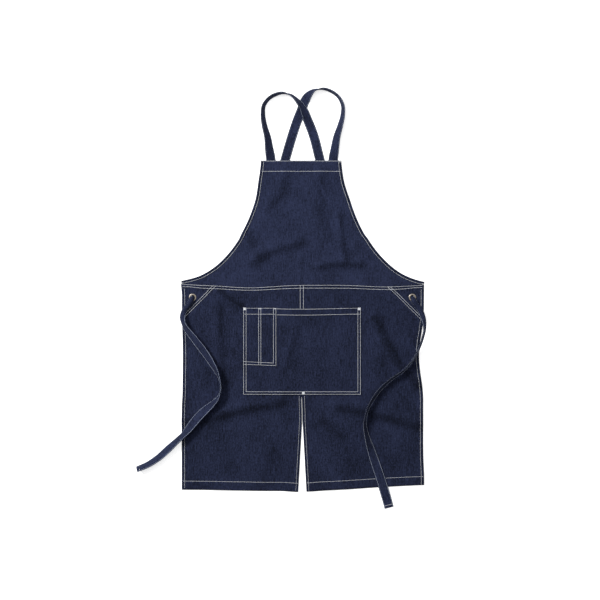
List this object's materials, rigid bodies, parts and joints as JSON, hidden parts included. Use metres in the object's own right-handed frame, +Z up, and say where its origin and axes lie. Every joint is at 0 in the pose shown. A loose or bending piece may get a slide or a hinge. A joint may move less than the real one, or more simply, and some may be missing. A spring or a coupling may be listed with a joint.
{
  "type": "cross-back apron",
  "caption": "Denim bib apron lying flat: crossed shoulder straps that pass through eyelets and end as waist ties, patch pocket with pen slots, and a split skirt.",
  "frame": {"origin": "on the surface that the apron lies on, under the middle of the cloth", "axes": "+X across the apron, +Y from the hem towards the top of the bib, +Z up out of the front face"},
  "size_m": [0.8008, 1.151, 0.031],
  "materials": {
    "denim": "dark indigo washed denim twill, matt",
    "strap": "the same denim folded into edge-stitched straps",
    "thread": "off-white cotton topstitching thread",
    "eyelet_metal": "antique nickel, satin"
  },
  "bodies": {
    "skirt": {"left_skirt_panel": "denim", "right_skirt_panel": "denim", "left_side_hem": "denim", "right_side_hem": "denim", "left_corner_patch": "denim", "right_corner_patch": "denim", "left_eyelet": "eyelet_metal", "right_eyelet": "eyelet_metal", "left_eyelet_washer": "eyelet_metal", "right_eyelet_washer": "eyelet_metal", "left_strap_run": "strap", "right_strap_run": "strap", "pocket_panel": "denim", "pen_pocket": "denim", "pocket_left_tack": "thread", "pocket_right_tack": "thread", "slit_tack": "thread", "waist_stitching": "thread", "centre_seam_stitching": "thread", "pocket_stitching": "thread", "pen_pocket_stitching": "thread", "patch_stitching": "thread", "side_hem_stitching": "thread"},
    "bib": {"bib_panel": "denim", "bib_top_hem": "denim", "left_armhole_binding": "denim", "right_armhole_binding": "denim", "left_shoulder_strap": "strap", "right_shoulder_strap": "strap", "armhole_stitching": "thread", "bib_hem_stitching": "thread"},
    "left_flap": {"left_flap_panel": "denim", "left_flap_hem": "denim", "left_flap_edge_hems": "denim", "left_flap_stitching": "thread"},
    "right_flap": {"right_flap_panel": "denim", "right_flap_hem": "denim", "right_flap_edge_hems": "denim", "right_flap_stitching": "thread"},
    "left_tie": {"left_tie": "strap", "left_tie_tack": "thread"},
    "right_tie": {"right_tie": "strap", "right_tie_tack": "thread"}
  },
  "joints": [
    {"name": "bib_fold", "type": "hinge", "parent": "skirt", "child": "bib", "pos_m": [0, 0.11, 0.0044], "axis": [1, 0, 0], "range_deg": [0, 120]},
    {"name": "left_flap_fold", "type": "hinge", "parent": "skirt", "child": "left_flap", "pos_m": [-0.167, -0.198, 0.0044], "axis": [-1, 0, 0], "range_deg": [0, 90]},
    {"name": "right_flap_fold", "type": "hinge", "parent": "skirt", "child": "right_flap", "pos_m": [0.167, -0.198, 0.0044], "axis": [-1, 0, 0], "range_deg": [0, 90]},
    {"name": "left_tie_lift", "type": "hinge", "parent": "skirt", "child": "left_tie", "pos_m": [-0.302, 0.077, 0.0062], "axis": [-1, 0, 0], "range_deg": [0, 50]},
    {"name": "right_tie_lift", "type": "hinge", "parent": "skirt", "child": "right_tie", "pos_m": [0.302, 0.077, 0.0062], "axis": [-1, 0, 0], "range_deg": [0, 50]}
  ],
  "couplings": [
    {"joint": "left_tie_lift", "follows": "left_flap_fold", "ratio": 0.55},
    {"joint": "right_tie_lift", "follows": "right_flap_fold", "ratio": 0.55}
  ]
}
